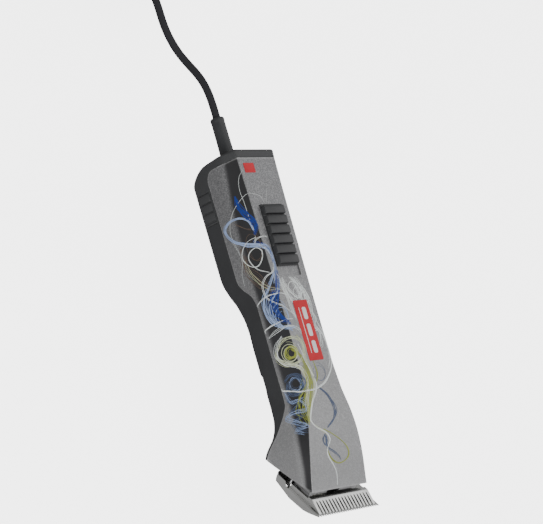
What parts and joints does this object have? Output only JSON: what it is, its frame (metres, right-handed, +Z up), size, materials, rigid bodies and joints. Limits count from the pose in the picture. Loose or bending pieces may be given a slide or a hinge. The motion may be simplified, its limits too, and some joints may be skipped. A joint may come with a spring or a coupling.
{
  "type": "hair clipper",
  "caption": "Corded hair clipper with a detachable toothed blade set, sliding switch and a power module, lying on its back with its cord coiled.",
  "frame": {"origin": "middle of the base of the clipper without its cord, on the surface that it lies on", "axes": "+Y from the blade towards the cord, +Z up out of the front face with the switch, +X across"},
  "size_m": [0.081, 0.39, 0.0363],
  "materials": {
    "front_shell": "satin metallic lacquer",
    "rear_shell": "fine textured",
    "end_cap": "fine textured",
    "label": "printed label",
    "switch": "fine textured",
    "white_plastic": "moulded",
    "black_plastic": "moulded",
    "button": "fine textured",
    "spring_steel": "rolled",
    "frame": "die cast",
    "motor_can": "plated",
    "steel": "ground",
    "brass": "turned",
    "blade": "ground and polished",
    "screw": "blackened",
    "board": "solder mask",
    "transformer": "taped winding",
    "capacitor": "sleeved",
    "lead": "insulated wire",
    "cord_rubber": "matte rubber",
    "tie": "strap",
    "plug": "moulded",
    "pin": "nickel plated"
  },
  "bodies": {
    "housing": {"front_shell": "front_shell", "rear_shell": "rear_shell", "end_cap": "end_cap", "label_plate": "label", "emblem_plate": "label", "slide_switch": "black_plastic", "drive_frame": "frame", "motor_can": "motor_can", "motor_end_bell": "black_plastic", "lever_pivot_pin": "steel", "hinge_pin": "steel", "latch_spring": "spring_steel", "circuit_board": "board", "transformer": "transformer", "capacitors": "capacitor", "motor_leads": "lead", "housing_screws": "screw", "strain_relief": "cord_rubber", "cord": "cord_rubber", "cord_coil": "cord_rubber", "cord_tail": "cord_rubber", "cord_tie": "tie", "plug": "plug", "plug_pins": "pin"},
    "switch": {"switch_slider": "switch", "switch_link": "white_plastic"},
    "left_button": {"release_button_left": "button", "button_spring_left": "spring_steel"},
    "right_button": {"release_button_right": "button", "button_spring_right": "spring_steel"},
    "rotor": {"motor_shaft": "steel", "eccentric_cam": "brass", "drive_roller": "steel"},
    "lever": {"drive_lever": "white_plastic"},
    "blade_set": {"comb_blade": "blade", "tension_spring": "spring_steel", "blade_socket": "spring_steel", "blade_screws": "screw", "hinge_tongue": "spring_steel"},
    "cutter": {"cutter_blade": "blade"}
  },
  "joints": [
    {"name": "switch_slide", "type": "slide", "parent": "housing", "child": "switch", "axis": [0, -1, 0], "range_m": [0, 0.0055]},
    {"name": "left_button_press", "type": "slide", "parent": "housing", "child": "left_button", "axis": [1, 0, 0], "range_m": [0, 0.0015], "stiffness_N_per_m": 400, "springref_m": -0.001},
    {"name": "right_button_press", "type": "slide", "parent": "housing", "child": "right_button", "axis": [-1, 0, 0], "range_m": [0, 0.0015], "stiffness_N_per_m": 400, "springref_m": -0.001},
    {"name": "motor_spin", "type": "hinge", "parent": "housing", "child": "rotor", "pos_m": [0, -0.012, 0.02145], "axis": [0, 1, 0], "continuous": true},
    {"name": "lever_swing", "type": "hinge", "parent": "housing", "child": "lever", "pos_m": [0, -0.062, 0.02145], "axis": [0, 0, 1], "range_deg": [-4.16, 4.16]},
    {"name": "blade_hinge", "type": "hinge", "parent": "housing", "child": "blade_set", "pos_m": [0, -0.066, 0.006], "axis": [1, 0, 0], "range_deg": [0, 60]},
    {"name": "cutter_slide", "type": "slide", "parent": "blade_set", "child": "cutter", "axis": [1, 0, 0], "range_m": [-0.0015, 0.0015]}
  ],
  "couplings": [
    {"joint": "lever_swing", "follows": "cutter_slide", "rad_per_m": 48.309}
  ]
}
